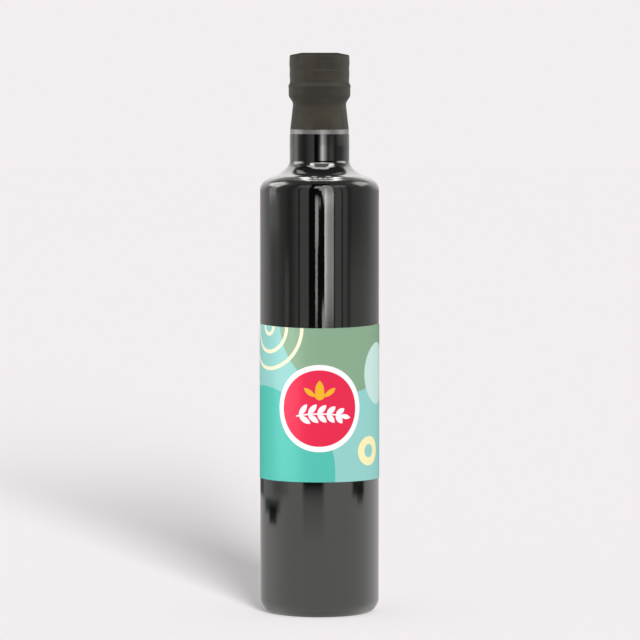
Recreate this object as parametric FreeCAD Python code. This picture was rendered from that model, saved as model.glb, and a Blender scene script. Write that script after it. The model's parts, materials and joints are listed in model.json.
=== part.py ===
# Olive oil bottle, in millimetres: dark glass, a shrunk-on capsule, a thin neck band and a wrap label.
# The origin is the centre of the ring that the bottle stands on. +Z is up, and the label's front faces -Y.
import FreeCAD, Part
import math
import os

# Glass body
BODY_RADIUS = 31.3
WALL_TOP = 222.4  # height at which the straight wall ends
HEEL_ROUNDING = 7.4  # between the wall and the ring that it stands on
RING_WIDTH = 5.9  # flat ring under the heel
PUSH_UP = 2.5  # depth of the dish inside that ring

# Shoulder
SHOULDER_ROUNDING = 6.8  # between the wall and the dome
SHOULDER_TURN = 58.3  # how far that rounding turns, in degrees
DOME_ROUNDING = 16.3
SHOULDER_SLOPE = 21.7  # fall of the straight slope above the dome, in degrees
HOLLOW_ROUNDING = 16.4  # wide hollow between the slope and the fillet
NECK_FILLET = 5.4
FILLET_TURN = 42.2  # how far the fillet turns out from the neck, in degrees

# Neck, from its hollow foot up to the band
NECK_RADIUS = 15.7
NECK_STRAIGHT = 4.25  # length of the plain stretch above the foot
NECK_SWELL = 0.2  # how far the soft ring stands out
SWELL_RISE = 3.1  # from the plain stretch to the ring's crest
SWELL_FALL = 6.5  # from the crest to the band
NECK_TAPER = 0.28  # the neck is this much slimmer at the band than at its foot

# Film that is shrunk over the neck: the band and the capsule's skirt
FILM_THICKNESS = 0.3
FILM_CLEARANCE = 0.05  # between the film and the glass
BAND_HEIGHT = 2.3
SKIRT_HEIGHT = 12.4  # from the capsule's foot to its pinch
SKIRT_TAPER = 1.42  # the pinch is this much slimmer than the foot

# Capsule above the pinch: heights of each stretch, and radii beyond the pinch
PINCH_HEIGHT = 0.6
FLARE_HEIGHT = 5.3
BULGE_HEIGHT = 2.8
BULGE_OVERHANG = 2.22
BULGE_TO_WAIST = 4.4
WAIST_OVERHANG = 1.55
WAIST_TO_RIDGE = 3.4
RIDGE_OVERHANG = 1.74
RIDGE_TO_GROOVE = 2.4
GROOVE_OVERHANG = 1.64
GROOVE_TO_HEAD = 2.6
HEAD_OVERHANG = 1.83
HEAD_HEIGHT = 4.2
BRIM_OVERHANG = 1.7
BRIM_ROUNDING = 0.9
CROWN_SLOPE_WIDTH = 5.6  # from the brim's rounding in to the flat crown
CROWN_SLOPE = 11.4  # fall of that slope, in degrees
CROWN_THICKNESS = 3.8  # of the closure and film above the glass rim

# Label
LABEL_FOOT = 71.4
LABEL_HEIGHT = 81.1
LABEL_THICKNESS = 0.18
LABEL_GLUE = 0.02
LABEL_GAP = 3.5  # bare strip between the label's two ends, at the back

# A soft transition's handles reach this share of its length
HANDLE_REACH = 0.42

AXIS_POINT = FreeCAD.Vector(0, 0, 0)
UP = FreeCAD.Vector(0, 0, 1)
OUT = FreeCAD.Vector(1, 0, 0)


def at(radius, height):
    return FreeCAD.Vector(radius, 0, height)


def line(start, end):
    return Part.LineSegment(start, end).toShape()


def spoke(rounding, angle):
    """From an arc's centre to its point at that angle, in degrees from +X towards +Z."""
    turn = math.radians(angle)
    return at(rounding * math.cos(turn), rounding * math.sin(turn))


def arc(centre, rounding, start_angle, end_angle):
    """An arc about a centre in the section plane, from one angle to the other."""
    angles = (start_angle, (start_angle + end_angle) / 2, end_angle)
    return Part.Arc(*[centre + spoke(rounding, angle) for angle in angles]).toShape()


def soft_step(start, end):
    """A curve that leaves start and reaches end straight up."""
    handle = UP * (HANDLE_REACH * (end.z - start.z))
    curve = Part.BezierCurve()
    curve.setPoles([start, start + handle, end - handle, end])
    return curve.toShape()


def turned(edges, degrees=360.0):
    """The solid that a closed section makes when it turns about the bottle's axis."""
    section = Part.Face(Part.Wire(edges))
    solid = Part.Solid(section.revolve(AXIS_POINT, UP, degrees).Shells[0])
    if solid.Volume < 0:
        solid.reverse()
    return solid


def polygon(points):
    return [line(start, end) for start, end in zip(points, points[1:] + points[:1])]


class Levels:
    """Radii and heights that several pieces share, from the shoulder up to the crown."""

    slope_normal = 90 - SHOULDER_SLOPE
    shoulder_centre = at(BODY_RADIUS - SHOULDER_ROUNDING, WALL_TOP)
    dome_foot = shoulder_centre + spoke(SHOULDER_ROUNDING, SHOULDER_TURN)
    dome_centre = dome_foot - spoke(DOME_ROUNDING, SHOULDER_TURN)
    slope_foot = dome_centre + spoke(DOME_ROUNDING, slope_normal)
    # The hollow and the fillet are measured down from the neck's foot
    fillet_fall = spoke(NECK_FILLET, 0) - spoke(NECK_FILLET, FILLET_TURN)
    hollow_fall = spoke(HOLLOW_ROUNDING, FILLET_TURN) - spoke(HOLLOW_ROUNDING, slope_normal)
    slope_top_radius = NECK_RADIUS + fillet_fall.x + hollow_fall.x
    slope_rise = (slope_foot.x - slope_top_radius) * math.tan(math.radians(SHOULDER_SLOPE))
    slope_top = at(slope_top_radius, slope_foot.z + slope_rise)
    hollow_centre = slope_top + spoke(HOLLOW_ROUNDING, slope_normal)
    fillet_centre = slope_top - hollow_fall + spoke(NECK_FILLET, FILLET_TURN)
    neck_foot = fillet_centre.z
    swell_foot = neck_foot + NECK_STRAIGHT
    swell_crest = swell_foot + SWELL_RISE
    band_foot = swell_crest + SWELL_FALL
    skirt_foot = band_foot + BAND_HEIGHT
    pinch = skirt_foot + SKIRT_HEIGHT
    flare_foot = pinch + PINCH_HEIGHT
    bulge_foot = flare_foot + FLARE_HEIGHT
    bulge_top = bulge_foot + BULGE_HEIGHT
    waist = bulge_top + BULGE_TO_WAIST
    ridge = waist + WAIST_TO_RIDGE
    groove = ridge + RIDGE_TO_GROOVE
    head = groove + GROOVE_TO_HEAD
    brim = head + HEAD_HEIGHT
    film_radius = NECK_RADIUS - NECK_TAPER
    pinch_radius = film_radius - SKIRT_TAPER
    brim_centre = at(pinch_radius + BRIM_OVERHANG - BRIM_ROUNDING, brim)
    crown_foot = brim_centre + spoke(BRIM_ROUNDING, 90 - CROWN_SLOPE)
    crown = crown_foot.z + CROWN_SLOPE_WIDTH * math.tan(math.radians(CROWN_SLOPE))
    rim = crown - CROWN_THICKNESS


def glass_below_band():
    """Edges of the bottle's section, from the middle of the base up to the band's foot."""
    heel_centre = at(BODY_RADIUS - HEEL_ROUNDING, HEEL_ROUNDING)
    ring_outer = at(BODY_RADIUS - HEEL_ROUNDING, 0)
    ring_inner = ring_outer - OUT * RING_WIDTH
    dish_middle = at(ring_inner.x / 2, PUSH_UP * 3 / 4)
    dish = Part.Arc(at(0, PUSH_UP), dish_middle, ring_inner).toShape()
    swell = Part.Arc(
        at(NECK_RADIUS, Levels.swell_foot),
        at(NECK_RADIUS + NECK_SWELL, Levels.swell_crest),
        at(Levels.film_radius, Levels.band_foot),
    ).toShape()
    return [
        dish,
        line(ring_inner, ring_outer),
        arc(heel_centre, HEEL_ROUNDING, -90, 0),
        line(at(BODY_RADIUS, HEEL_ROUNDING), at(BODY_RADIUS, WALL_TOP)),
        arc(Levels.shoulder_centre, SHOULDER_ROUNDING, 0, SHOULDER_TURN),
        arc(Levels.dome_centre, DOME_ROUNDING, SHOULDER_TURN, Levels.slope_normal),
        line(Levels.slope_foot, Levels.slope_top),
        arc(Levels.hollow_centre, HOLLOW_ROUNDING, 180 + Levels.slope_normal, 180 + FILLET_TURN),
        arc(Levels.fillet_centre, NECK_FILLET, 180 + FILLET_TURN, 180),
        line(at(NECK_RADIUS, Levels.neck_foot), at(NECK_RADIUS, Levels.swell_foot)),
        swell,
    ]


def bottle():
    """The glass and the oil that it hides, as one solid up to the rim inside the capsule."""
    inset = FILM_THICKNESS + FILM_CLEARANCE
    covered = [
        at(Levels.film_radius, Levels.band_foot),
        at(Levels.film_radius - inset, Levels.band_foot),
        at(Levels.film_radius - inset, Levels.skirt_foot),
        at(Levels.pinch_radius - inset, Levels.pinch),
        at(Levels.pinch_radius - inset, Levels.rim),
        at(0, Levels.rim),
        at(0, PUSH_UP),
    ]
    above_band = [line(start, end) for start, end in zip(covered, covered[1:])]
    return turned(glass_below_band() + above_band)


def neck_band():
    """The thin ring of film between the bare neck and the capsule."""
    inner = Levels.film_radius - FILM_THICKNESS
    corners = [
        at(inner, Levels.band_foot),
        at(Levels.film_radius, Levels.band_foot),
        at(Levels.film_radius, Levels.skirt_foot),
        at(inner, Levels.skirt_foot),
    ]
    return turned(polygon(corners))


def capsule_outside():
    """Edges of the capsule's outer face, from its foot up to the middle of the crown."""
    pinch_radius = Levels.pinch_radius
    foot = at(Levels.film_radius, Levels.skirt_foot)
    pinch = at(pinch_radius, Levels.pinch)
    flare_foot = at(pinch_radius, Levels.flare_foot)
    bulge_foot = at(pinch_radius + BULGE_OVERHANG, Levels.bulge_foot)
    bulge_top = at(pinch_radius + BULGE_OVERHANG, Levels.bulge_top)
    edges = [
        line(foot, pinch),
        line(pinch, flare_foot),
        soft_step(flare_foot, bulge_foot),
        line(bulge_foot, bulge_top),
    ]
    rings = [
        bulge_top,
        at(pinch_radius + WAIST_OVERHANG, Levels.waist),
        at(pinch_radius + RIDGE_OVERHANG, Levels.ridge),
        at(pinch_radius + GROOVE_OVERHANG, Levels.groove),
        at(pinch_radius + HEAD_OVERHANG, Levels.head),
        at(pinch_radius + BRIM_OVERHANG, Levels.brim),
    ]
    edges += [soft_step(lower, upper) for lower, upper in zip(rings, rings[1:])]
    crown_edge = at(Levels.crown_foot.x - CROWN_SLOPE_WIDTH, Levels.crown)
    edges += [
        arc(Levels.brim_centre, BRIM_ROUNDING, 0, 90 - CROWN_SLOPE),
        line(Levels.crown_foot, crown_edge),
        line(crown_edge, at(0, Levels.crown)),
    ]
    return edges


def capsule():
    """The film and the closure inside it, as one solid that sits on the glass rim."""
    inside = [
        at(0, Levels.crown),
        at(0, Levels.rim),
        at(Levels.pinch_radius - FILM_THICKNESS, Levels.rim),
        at(Levels.pinch_radius - FILM_THICKNESS, Levels.pinch),
        at(Levels.film_radius - FILM_THICKNESS, Levels.skirt_foot),
        at(Levels.film_radius, Levels.skirt_foot),
    ]
    edges = [line(start, end) for start, end in zip(inside, inside[1:])]
    return turned(capsule_outside() + edges)


def label():
    """The paper wrap, open by a narrow strip at the back."""
    inner = BODY_RADIUS + LABEL_GLUE
    outer = inner + LABEL_THICKNESS
    corners = [
        at(inner, LABEL_FOOT),
        at(outer, LABEL_FOOT),
        at(outer, LABEL_FOOT + LABEL_HEIGHT),
        at(inner, LABEL_FOOT + LABEL_HEIGHT),
    ]
    gap = math.degrees(LABEL_GAP / outer)
    wrap = turned(polygon(corners), 360 - gap)
    wrap.rotate(AXIS_POINT, UP, 90 + gap / 2)
    return wrap


PIECES = {
    "bottle": bottle,
    "neck_band": neck_band,
    "capsule": capsule,
    "label": label,
}

os.makedirs("parts", exist_ok=True)
for name, make in PIECES.items():
    make().exportStep("parts/" + name + ".step")
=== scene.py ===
"""An olive oil bottle: dark glass, a neck band, a shrunk-on capsule and a wrap label, in a small studio."""

import json
import math

import bpy
from bpy.props import FloatProperty, FloatVectorProperty, IntProperty, PointerProperty
from bpy.types import Operator, Panel, PropertyGroup
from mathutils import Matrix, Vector

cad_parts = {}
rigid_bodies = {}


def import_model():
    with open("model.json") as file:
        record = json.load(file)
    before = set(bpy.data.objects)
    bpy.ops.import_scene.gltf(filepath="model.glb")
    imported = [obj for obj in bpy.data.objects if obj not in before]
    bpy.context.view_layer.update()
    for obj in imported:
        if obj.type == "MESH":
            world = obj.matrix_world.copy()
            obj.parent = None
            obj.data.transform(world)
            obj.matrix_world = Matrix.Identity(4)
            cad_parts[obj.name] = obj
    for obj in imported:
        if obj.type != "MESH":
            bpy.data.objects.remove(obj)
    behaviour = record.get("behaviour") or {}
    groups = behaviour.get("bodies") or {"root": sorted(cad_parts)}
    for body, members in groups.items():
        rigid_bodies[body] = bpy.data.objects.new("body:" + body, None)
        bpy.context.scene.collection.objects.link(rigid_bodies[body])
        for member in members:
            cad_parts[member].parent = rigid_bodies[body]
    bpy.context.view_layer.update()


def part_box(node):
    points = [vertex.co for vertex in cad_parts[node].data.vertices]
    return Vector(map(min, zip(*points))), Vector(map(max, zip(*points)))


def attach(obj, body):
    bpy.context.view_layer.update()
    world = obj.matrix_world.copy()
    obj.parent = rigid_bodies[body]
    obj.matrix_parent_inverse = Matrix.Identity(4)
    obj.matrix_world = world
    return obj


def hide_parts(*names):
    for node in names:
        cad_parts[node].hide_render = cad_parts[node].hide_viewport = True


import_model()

bl_info = {
    "name": "Olive Oil Bottle",
    "version": (1, 0, 0),
    "blender": (4, 5, 0),
    "location": "3D View > Sidebar > Oil Bottle",
    "description": "Makes a dark glass olive oil bottle with its capsule and label, and a studio for it",
    "category": "Object",
}

MM = 0.001
UP = Vector((0, 0, 1))
QUARTER = math.pi / 2

BOTTLE_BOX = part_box("bottle")
BAND_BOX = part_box("neck_band")
CAPSULE_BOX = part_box("capsule")
LABEL_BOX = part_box("label")


# Settings

def linear(red, green, blue):
    """A screen colour, each channel from 0 to 255, as the light that it stands for."""
    shares = [channel / 255 for channel in (red, green, blue)]
    return tuple(c / 12.92 if c <= 0.04045 else ((c + 0.055) / 1.055) ** 2.4 for c in shares)


def length(name, description, millimetres):
    return FloatProperty(
        name=name, description=description, default=millimetres * MM, min=0, unit="LENGTH", precision=5
    )


def angle(name, description, degrees):
    return FloatProperty(
        name=name, description=description, default=math.radians(degrees), subtype="ANGLE"
    )


def share(name, description, value):
    return FloatProperty(name=name, description=description, default=value, min=0, soft_max=1, precision=3)


def number(name, description, value, least=16):
    return IntProperty(name=name, description=description, default=value, min=least)


def colour(name, description, *screen):
    return FloatVectorProperty(
        name=name, description=description, default=linear(*screen), size=3, min=0, max=1, subtype="COLOR"
    )


class GlassSettings(PropertyGroup):
    """Sizes and finish of the glass."""

    heel_rounding: length("Heel rounding", "Radius between the wall and the ring that it stands on", 7.4)
    ring_width: length("Ring width", "Flat ring under the heel", 5.9)
    push_up: length("Push-up", "Depth of the dish inside that ring", 2.5)
    shoulder_rounding: length("Shoulder rounding", "Radius between the wall and the shoulder's dome", 6.8)
    shoulder_turn: angle("Shoulder turn", "How far that rounding turns", 58.3)
    dome_rounding: length("Dome rounding", "Radius of the shoulder's dome", 16.3)
    shoulder_slope: angle("Shoulder slope", "Fall of the slope above the dome", 21.7)
    hollow_rounding: length("Hollow rounding", "Radius of the wide hollow above the slope", 16.4)
    neck_radius: length("Neck radius", "Radius of the bare neck at its foot", 15.7)
    neck_fillet: length("Neck fillet", "Radius between the wide hollow and the neck", 5.4)
    fillet_turn: angle("Fillet turn", "How far the fillet turns out from the neck", 42.2)
    neck_straight: length("Neck straight", "Plain stretch above the neck's foot", 4.25)
    neck_swell: length("Neck swell", "How far the soft ring on the neck stands out", 0.05)
    swell_rise: length("Swell rise", "From the plain stretch up to the ring's crest", 3.1)
    swell_fall: length("Swell fall", "From the crest up to the band", 6.5)
    segments: number("Segments", "Faces around the glass", 256)
    wave_depth: length("Wave depth", "Unevenness of the blown wall", 0.05)
    wave_length: length("Wave length", "Size of one wave around the wall", 28.0)
    tint: colour("Tint", "Colour of the dark glass in depth", 4, 5, 4)
    polish: share("Roughness", "Roughness of the clean glass", 0.03)


class CapsuleSettings(PropertyGroup):
    """Sizes and finish of the film over the neck: the band and the capsule."""

    film_thickness: length("Film thickness", "Thickness of the shrunk film", 0.3)
    skirt_height: length("Skirt height", "From the capsule's foot to its pinch", 12.4)
    skirt_taper: length("Skirt taper", "The pinch is this much slimmer than the foot", 1.42)
    pinch_height: length("Pinch height", "Straight stretch at the pinch", 0.6)
    flare_height: length("Flare height", "From the pinch to the bulge", 5.3)
    bulge_height: length("Bulge height", "Straight stretch of the bulge", 2.8)
    bulge_overhang: length("Bulge overhang", "The bulge beyond the pinch", 2.22)
    waist_rise: length("Waist rise", "From the bulge up to the waist", 4.4)
    waist_overhang: length("Waist overhang", "The waist beyond the pinch", 1.55)
    ridge_rise: length("Ridge rise", "From the waist up to the ridge", 3.4)
    ridge_overhang: length("Ridge overhang", "The ridge beyond the pinch", 1.74)
    groove_rise: length("Groove rise", "From the ridge up to the groove", 2.4)
    groove_overhang: length("Groove overhang", "The groove beyond the pinch", 1.64)
    head_rise: length("Head rise", "From the groove up to the head", 2.6)
    head_overhang: length("Head overhang", "The head beyond the pinch", 1.83)
    head_height: length("Head height", "From the head up to the brim", 4.2)
    brim_overhang: length("Brim overhang", "The brim beyond the pinch", 1.7)
    brim_rounding: length("Brim rounding", "Radius of the brim", 0.9)
    crown_width: length("Crown slope width", "From the brim's rounding in to the flat crown", 5.6)
    crown_slope: angle("Crown slope", "Fall of that slope", 11.4)
    segments: number("Segments", "Faces around the capsule", 384)
    wave_depth: length("Wave depth", "Unevenness of the shrunk film", 0.06)
    wave_length: length("Wave length", "Size of one wave around the film", 11.0)
    perforations: number("Perforations", "Pin marks around the foot", 44, least=3)
    film: colour("Film", "Colour of the capsule", 61, 56, 47)
    film_dark: colour("Film shade", "Colour of the capsule in its deeper places", 51, 46, 39)
    film_olive: colour("Film tinge", "Colour of the capsule's thin places", 70, 68, 49)
    band: colour("Band", "Colour of the neck band", 114, 111, 110)


class LabelSettings(PropertyGroup):
    """Sizes and inks of the label."""

    paper_thickness: length("Paper thickness", "Thickness of the wrap", 0.18)
    gap: length("Gap", "Bare strip between the wrap's two ends, at the back", 3.5)
    dip: length("Dip", "How far the wrap's top edge sags at the front", 0.85)
    segments: number("Segments", "Faces around the label", 240)
    aqua: colour("Aqua", "Ground of the print", 149, 211, 204)
    sage: colour("Sage", "Large disc at the top", 139, 173, 143)
    teal: colour("Teal", "Large disc at the lower left", 84, 196, 180)
    mint: colour("Mint", "Disc at the right", 202, 232, 225)
    cream: colour("Cream", "Fine rings at the top left", 254, 246, 212)
    butter: colour("Butter", "Small ring at the lower right", 252, 243, 187)
    white: colour("White", "Paper white", 254, 253, 255)
    red: colour("Red", "Disc in the middle", 236, 36, 77)
    oil: colour("Oil", "Drop and its two leaves", 250, 184, 36)


class StudioSettings(PropertyGroup):
    """Camera, floor and lights."""

    camera_distance: length("Camera distance", "From the bottle's axis", 2336.6)
    camera_height: length("Camera height", "Above the floor", 295.9)
    camera_fall: angle("Camera fall", "How far the camera looks down", 3.472)
    camera_lens: FloatProperty(name="Lens", description="Focal length in millimetres", default=250.31)
    ground: colour("Ground", "Colour of the floor and the backdrop", 243, 238, 240)
    sky: share("Sky", "Light from all around, where a white paper would give 1", 0.27)
    even: share("Even light", "Light on the floor that nothing shades", 0.27)
    key_height: angle("Key height", "Height of the lamp that casts the shadow", 15)
    key_side: angle("Key side", "How far that lamp stands to the camera's right", 11.7)
    key_spread: angle("Key spread", "Width of that lamp, which softens the shadow", 15)
    fill: share("Fill", "Light on all but the capsule, from lamps in a circle", 0.57)
    fill_height: angle("Fill height", "How far those lamps stand above the horizon", 36)
    film_upper: share("Capsule's upper light", "Light on it from lamps at that height", 0.07)
    film_lower: share("Capsule's lower light", "Light on it from lamps as far below the horizon", 0.16)


class BottleSettings(PropertyGroup):
    """Everything that the panel shows."""

    glass: PointerProperty(type=GlassSettings)
    capsule: PointerProperty(type=CapsuleSettings)
    label: PointerProperty(type=LabelSettings)
    studio: PointerProperty(type=StudioSettings)


# Node trees

class Wire:
    """A node's output. An expression on it adds its Math nodes."""

    def __init__(self, nodes, socket):
        self.nodes = nodes
        self.socket = socket

    def out(self, name):
        """Another output of the same node."""
        return Wire(self.nodes, self.socket.node.outputs[name])

    def __add__(self, other):
        return self.nodes.maths("ADD", self, other)

    __radd__ = __add__

    def __sub__(self, other):
        return self.nodes.maths("SUBTRACT", self, other)

    def __rsub__(self, other):
        return self.nodes.maths("SUBTRACT", other, self)

    def __mul__(self, other):
        return self.nodes.maths("MULTIPLY", self, other)

    __rmul__ = __mul__

    def __truediv__(self, other):
        return self.nodes.maths("DIVIDE", self, other)

    def __rtruediv__(self, other):
        return self.nodes.maths("DIVIDE", other, self)

    def __neg__(self):
        return self.nodes.maths("MULTIPLY", self, -1)

    def __abs__(self):
        return self.nodes.maths("ABSOLUTE", self)


class Nodes:
    """Adds nodes to one tree."""

    def __init__(self, tree):
        self.tree = tree

    def add(self, kind, settings=(), values=()):
        """Makes a node of that kind: first its settings, then what its sockets hold.

        Gives the node's first live output, or the node itself where it has none.
        """
        node = self.tree.nodes.new(kind)
        for name, value in dict(settings).items():
            setattr(node, name, value)
        for key, value in dict(values).items():
            socket = self.live(node.inputs, key)
            if isinstance(value, Wire):
                self.tree.links.new(value.socket, socket)
            else:
                socket.default_value = value
        outputs = [socket for socket in node.outputs if socket.enabled]
        return Wire(self, outputs[0]) if outputs else node

    @staticmethod
    def live(sockets, key):
        """The socket at that place, or the one of that name that the node's settings leave on."""
        if isinstance(key, int):
            return sockets[key]
        return next(socket for socket in sockets if socket.name == key and socket.enabled)

    def maths(self, operation, *values, clamp=False):
        settings = {"operation": operation, "use_clamp": clamp}
        return self.add("ShaderNodeMath", settings, dict(enumerate(values)))

    def clamp(self, value):
        return self.maths("ADD", value, 0, clamp=True)

    def hypot(self, across, up):
        return self.maths("SQRT", across * across + up * up)

    def span(self, value, low, high):
        """Rises smoothly from 0 to 1 as value goes from low to high."""
        values = {"Value": value, "From Min": low, "From Max": high}
        return self.add("ShaderNodeMapRange", {"interpolation_type": "SMOOTHSTEP"}, values)

    def blend(self, under, over, mask):
        """Colour under, covered by colour over where mask is 1."""
        values = {"Factor": mask, "A": self.rgba(under), "B": self.rgba(over)}
        return self.add("ShaderNodeMix", {"data_type": "RGBA", "clamp_factor": True}, values)

    @staticmethod
    def rgba(tone):
        return tone if isinstance(tone, Wire) else (*tone, 1)

    def noise(self, place, scale, detail=2.0, stretch=(1, 1, 1)):
        """Noise from 0 to 1 at that place, with scale waves to the metre."""
        if stretch != (1, 1, 1):
            values = {"Vector": place, "Scale": stretch}
            place = self.add("ShaderNodeMapping", {"vector_type": "POINT"}, values)
        values = {"Vector": place, "Scale": scale, "Detail": detail}
        return self.add("ShaderNodeTexNoise", {}, values)

    def bump(self, height, distance, strength=1.0, normal=None):
        values = {"Height": height, "Distance": distance, "Strength": strength}
        if normal:
            values["Normal"] = normal
        return self.add("ShaderNodeBump", {}, values)

    def place(self):
        """The point on the piece, in the row frame, in metres."""
        return self.add("ShaderNodeTexCoord").out("Object")

    def split(self, vector):
        parts = self.add("ShaderNodeSeparateXYZ", {}, {"Vector": vector})
        return parts, parts.out("Y"), parts.out("Z")

    def finish(self, surface):
        self.add("ShaderNodeOutputMaterial", {}, {"Surface": surface})


def material(name):
    made = bpy.data.materials.new(name)
    made.use_nodes = True
    made.node_tree.nodes.clear()
    return made, Nodes(made.node_tree)


# Outlines that are turned about the bottle's axis

class Outline:
    """Points of a section, as radius and height, from its foot to its top."""

    STEP = 2 * MM  # longest straight stretch between two points
    FINE_STEP = 1 * MM  # the same on the slope, the neck and the crown
    TURN = math.radians(2.5)  # largest turn from one point to the next
    HANDLE_REACH = 0.42  # a soft step's handles reach this share of its length
    SOFT_POINTS = 12  # points along a soft step

    def __init__(self, radius, height):
        self.points = [Vector((radius, height))]

    def line(self, radius, height, step=STEP):
        start, end = self.points[-1], Vector((radius, height))
        count = max(1, math.ceil((end - start).length / step))
        self.points += [start.lerp(end, i / count) for i in range(1, count + 1)]

    def arc(self, rounding, start, end, turn=TURN):
        """Goes on from the last point about a centre beside it. Angles are in radians, from out to up."""
        centre = self.points[-1] - self.spoke(rounding, start)
        count = max(1, math.ceil(abs(end - start) / turn))
        for i in range(1, count + 1):
            self.points.append(centre + self.spoke(rounding, start + (end - start) * i / count))

    @staticmethod
    def spoke(rounding, at):
        return Vector((math.cos(at), math.sin(at))) * rounding

    def soft(self, radius, height):
        """A curve that leaves the last point and reaches the new one straight up."""
        start, end = self.points[-1], Vector((radius, height))
        handle = Vector((0, self.HANDLE_REACH * (end.y - start.y)))
        poles = (start, start + handle, end - handle, end)
        for i in range(1, self.SOFT_POINTS + 1):
            t = i / self.SOFT_POINTS
            weights = ((1 - t) ** 3, 3 * t * (1 - t) ** 2, 3 * t * t * (1 - t), t ** 3)
            self.points.append(sum((w * p for w, p in zip(weights, poles)), Vector((0, 0))))

    def mesh(self, name):
        """The outline as a chain of points in the XZ plane."""
        made = bpy.data.meshes.new(name)
        edges = [(i, i + 1) for i in range(len(self.points) - 1)]
        made.from_pydata([(p.x, 0, p.y) for p in self.points], edges, [])
        return made


class GlassLevels:
    """Points of the glass that its two stretches share, as radius and height."""

    def __init__(self, glass):
        self.slope_normal = QUARTER - glass.shoulder_slope
        self.radius = BOTTLE_BOX[1].x
        self.swell_crest = BAND_BOX[0].z - glass.swell_fall
        self.swell_foot = self.swell_crest - glass.swell_rise
        neck_foot = self.swell_foot - glass.neck_straight
        spoke = Outline.spoke
        fillet_fall = spoke(glass.neck_fillet, 0) - spoke(glass.neck_fillet, glass.fillet_turn)
        hollow_start = spoke(glass.hollow_rounding, glass.fillet_turn)
        hollow_fall = hollow_start - spoke(glass.hollow_rounding, self.slope_normal)
        self.slope_top = Vector((glass.neck_radius, neck_foot)) + fillet_fall + hollow_fall
        shoulder = Outline(self.radius, 0)
        self.add_shoulder(shoulder, glass)
        slope_foot = shoulder.points[-1]
        slope_rise = (slope_foot.x - self.slope_top.x) * math.tan(glass.shoulder_slope)
        self.wall_top = self.slope_top.y - slope_rise - slope_foot.y
        self.joint = (self.slope_top + slope_foot + Vector((0, self.wall_top))) / 2

    def add_shoulder(self, line, glass):
        line.arc(glass.shoulder_rounding, 0, glass.shoulder_turn)
        line.arc(glass.dome_rounding, glass.shoulder_turn, self.slope_normal)


def body_outline(glass):
    """From the middle of the base up to the middle of the shoulder's slope, and in to the axis."""
    levels = GlassLevels(glass)
    ring_outer = levels.radius - glass.heel_rounding
    ring_inner = ring_outer - glass.ring_width
    line = Outline(0, glass.push_up)
    dish_rounding = arch_radius(Vector((0, glass.push_up)), Vector((ring_inner, 0)))
    line.arc(dish_rounding, QUARTER, QUARTER - math.asin(ring_inner / dish_rounding))
    line.line(ring_outer, 0)
    line.arc(glass.heel_rounding, -QUARTER, 0)
    line.line(levels.radius, levels.wall_top)
    levels.add_shoulder(line, glass)
    line.line(*levels.joint, step=Outline.FINE_STEP)
    line.line(0, levels.joint.y)
    return line


FILM_CLEARANCE = 0.05 * MM  # between the glass and the film over it


def neck_outline(glass, film_thickness):
    """From the axis out to the middle of the shoulder's slope, and up to the rim inside the capsule."""
    levels = GlassLevels(glass)
    film_radius = BAND_BOX[1].x
    band_foot, skirt_foot, rim = BAND_BOX[0].z, CAPSULE_BOX[0].z, BOTTLE_BOX[1].z
    line = Outline(0, levels.joint.y)
    line.line(*levels.joint)
    line.line(*levels.slope_top, step=Outline.FINE_STEP)
    line.arc(glass.hollow_rounding, math.pi + levels.slope_normal, math.pi + glass.fillet_turn)
    line.arc(glass.neck_fillet, math.pi + glass.fillet_turn, math.pi)
    line.line(glass.neck_radius, levels.swell_foot, step=Outline.FINE_STEP)
    line.soft(glass.neck_radius + glass.neck_swell, levels.swell_crest)
    line.line(glass.neck_radius, band_foot, step=Outline.FINE_STEP)
    covered = film_radius - film_thickness - FILM_CLEARANCE
    line.line(covered, band_foot)
    line.line(covered, skirt_foot)
    pinch = pinch_radius() - film_thickness - FILM_CLEARANCE
    line.line(pinch, skirt_foot + settings().capsule.skirt_height)
    line.line(pinch, rim)
    line.line(0, rim)
    return line


def arch_radius(crown, foot):
    """Radius of the arc that is level at its crown and passes through its foot."""
    across, fall = abs(foot.x - crown.x), abs(crown.y - foot.y)
    return (across ** 2 + fall ** 2) / (2 * fall)


def pinch_radius():
    """Radius of the capsule where its film is pulled in above the skirt."""
    return BAND_BOX[1].x - settings().capsule.skirt_taper


def band_outline(capsule):
    """The band's closed section."""
    outer, inner = BAND_BOX[1].x, BAND_BOX[1].x - capsule.film_thickness
    foot, top = BAND_BOX[0].z, BAND_BOX[1].z
    line = Outline(inner, foot)
    line.line(outer, foot)
    line.line(outer, top, step=0.25 * MM)
    line.line(inner, top)
    line.line(inner, foot)
    return line


def capsule_outline(capsule):
    """From the middle of the closure's underside, down the inner wall and up the outer one to the crown."""
    film_radius, pinch = BAND_BOX[1].x, pinch_radius()
    foot, crown, rim = CAPSULE_BOX[0].z, CAPSULE_BOX[1].z, BOTTLE_BOX[1].z
    pinch_foot = foot + capsule.skirt_height
    line = Outline(0, rim)
    line.line(pinch - capsule.film_thickness, rim)
    line.line(pinch - capsule.film_thickness, pinch_foot)
    line.line(film_radius - capsule.film_thickness, foot)
    line.line(film_radius, foot)
    line.line(pinch, pinch_foot, step=0.5 * MM)
    height = pinch_foot + capsule.pinch_height
    line.line(pinch, height, step=0.3 * MM)
    rises = (
        (capsule.flare_height, capsule.bulge_overhang),
        (capsule.bulge_height, capsule.bulge_overhang),
        (capsule.waist_rise, capsule.waist_overhang),
        (capsule.ridge_rise, capsule.ridge_overhang),
        (capsule.groove_rise, capsule.groove_overhang),
        (capsule.head_rise, capsule.head_overhang),
        (capsule.head_height, capsule.brim_overhang),
    )
    for rise, overhang in rises:
        height += rise
        line.soft(pinch + overhang, height)
    line.arc(capsule.brim_rounding, 0, QUARTER - capsule.crown_slope, turn=math.radians(9))
    line.line(line.points[-1].x - capsule.crown_width, crown, step=0.7 * MM)
    line.line(0, crown, step=Outline.FINE_STEP)
    return line


# Pieces that are turned from an outline

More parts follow.
